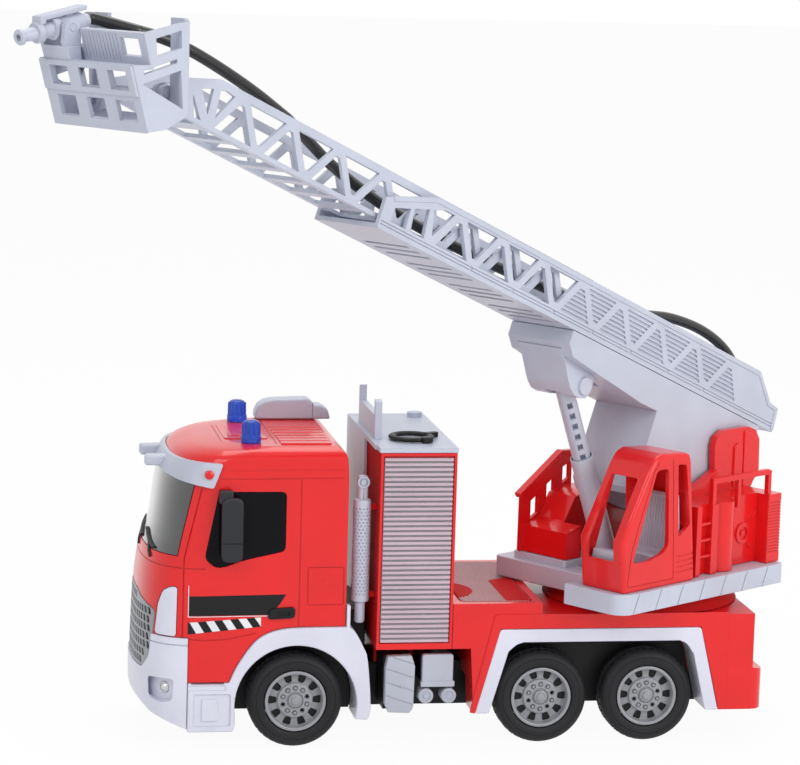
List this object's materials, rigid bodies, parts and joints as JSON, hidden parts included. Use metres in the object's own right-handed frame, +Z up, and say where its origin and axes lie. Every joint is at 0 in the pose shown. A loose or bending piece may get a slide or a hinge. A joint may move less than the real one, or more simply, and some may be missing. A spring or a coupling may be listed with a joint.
{
  "type": "toy fire engine",
  "caption": "Toy fire engine with a turning turret, lifting extending ladder, tilting basket, water cannon and spinning wheels.",
  "frame": {"origin": "middle of the flat underside of the chassis frame, between the front and middle axles", "axes": "+X to the rear of the truck, +Y to its right, +Z up; the wheels reach 14 mm below the origin"},
  "size_m": [0.421, 0.3199, 0.3763],
  "materials": {
    "red_plastic": "bright red moulded plastic, satin gloss",
    "white_plastic": "white moulded plastic",
    "grey_plastic": "light bluish grey moulded plastic",
    "pale_grey_plastic": "pale grey moulded plastic",
    "shutter_grey_plastic": "silver grey plastic with fine slats",
    "tread_grey_plastic": "grey ribbed tread",
    "dark_grey_plastic": "dark grey moulded plastic",
    "rim_grey_plastic": "mid grey moulded plastic",
    "black_plastic": "black moulded plastic",
    "dark_glazing": "gloss black glazing, opaque",
    "blue_lens": "translucent blue lens",
    "steel": "bare steel",
    "hose_rubber": "black soft hose",
    "tyre": "black moulded tyre"
  },
  "bodies": {
    "truck": {"chassis_frame": "black_plastic", "cab_shell": "red_plastic", "windscreen": "dark_glazing", "side_window_left": "dark_glazing", "side_window_right": "dark_glazing", "sun_visor": "grey_plastic", "beacon_left": "blue_lens", "beacon_right": "blue_lens", "roof_unit": "grey_plastic", "mirror_left": "dark_grey_plastic", "mirror_right": "dark_grey_plastic", "front_bumper": "white_plastic", "headlight_left": "white_plastic", "headlight_right": "white_plastic", "front_grille": "grey_plastic", "front_fender_left": "white_plastic", "front_fender_right": "white_plastic", "side_unit_left": "pale_grey_plastic", "side_unit_right": "pale_grey_plastic", "exhaust_stack": "grey_plastic", "tower_shell": "red_plastic", "tower_lid": "grey_plastic", "shutter_left": "shutter_grey_plastic", "shutter_right": "shutter_grey_plastic", "lid_ring": "black_plastic", "rear_body": "red_plastic", "deck_tread": "tread_grey_plastic", "rear_fender_left": "white_plastic", "rear_fender_right": "white_plastic"},
    "front_axle": {"axle_front": "steel", "rim_front_left": "rim_grey_plastic", "rim_front_right": "rim_grey_plastic", "tyre_front_left": "tyre", "tyre_front_right": "tyre"},
    "middle_axle": {"axle_middle": "steel", "rim_middle_left": "rim_grey_plastic", "rim_middle_right": "rim_grey_plastic", "tyre_middle_left": "tyre", "tyre_middle_right": "tyre"},
    "rear_axle": {"axle_rear": "steel", "rim_rear_left": "rim_grey_plastic", "rim_rear_right": "rim_grey_plastic", "tyre_rear_left": "tyre", "tyre_rear_right": "tyre"},
    "turret": {"turntable_platform": "grey_plastic", "turret_housing": "red_plastic", "operator_cab": "red_plastic", "operator_seat": "grey_plastic", "boom_pivot_pin": "steel"},
    "boom": {"boom_carrier": "grey_plastic", "outer_ladder": "grey_plastic", "hose_run": "hose_rubber"},
    "fly": {"inner_ladder": "grey_plastic", "hose_drop": "hose_rubber"},
    "basket_body": {"basket": "grey_plastic", "hose_lead": "hose_rubber"},
    "cannon": {"water_cannon": "grey_plastic"},
    "rod": {"cylinder_rod": "grey_plastic"},
    "barrel": {"cylinder_barrel": "grey_plastic"}
  },
  "joints": [
    {"name": "front_axle_spin", "type": "hinge", "parent": "truck", "child": "front_axle", "pos_m": [-0.103, 0, 0.01], "axis": [0, 1, 0], "continuous": true},
    {"name": "middle_axle_spin", "type": "hinge", "parent": "truck", "child": "middle_axle", "pos_m": [0.0235, 0, 0.01], "axis": [0, 1, 0], "continuous": true},
    {"name": "rear_axle_spin", "type": "hinge", "parent": "truck", "child": "rear_axle", "pos_m": [0.079, 0, 0.01], "axis": [0, 1, 0], "continuous": true},
    {"name": "turret_turn", "type": "hinge", "parent": "truck", "child": "turret", "pos_m": [0.0854, 0, 0.0606], "axis": [0, 0, 1], "continuous": true},
    {"name": "boom_lift", "type": "hinge", "parent": "turret", "child": "boom", "pos_m": [0.12285, 0.02671, 0.124], "axis": [-0.5807, 0.8141, 0], "range_deg": [-20.8, 10]},
    {"name": "ladder_extend", "type": "slide", "parent": "boom", "child": "fly", "axis": [-0.7505, -0.5353, 0.3875], "range_m": [-0.115, 0.02], "deforming": ["hose_run"]},
    {"name": "basket_tilt", "type": "hinge", "parent": "fly", "child": "basket_body", "pos_m": [-0.20103, -0.20431, 0.32594], "axis": [-0.5807, 0.8141, 0], "range_deg": [-15, 22], "deforming": ["hose_drop"]},
    {"name": "cannon_pitch", "type": "hinge", "parent": "basket_body", "child": "cannon", "pos_m": [-0.23381, -0.20312, 0.35274], "axis": [-0.5807, 0.8141, 0], "range_deg": [-8, 25], "deforming": ["hose_lead"]},
    {"name": "lift_rod_turn", "type": "hinge", "parent": "boom", "child": "rod", "pos_m": [0.03129, -0.0386, 0.17128], "axis": [-0.5807, 0.8141, 0], "range_deg": [-3, 4]},
    {"name": "lift_barrel_slide", "type": "slide", "parent": "rod", "child": "barrel", "axis": [0.3117, 0.2223, -0.9238], "range_m": [-0.033, 0.016]}
  ],
  "couplings": [
    {"joint": "lift_rod_turn", "follows": "boom_lift", "ratio": -0.15},
    {"joint": "lift_barrel_slide", "follows": "boom_lift", "m_per_rad": 0.0865}
  ]
}
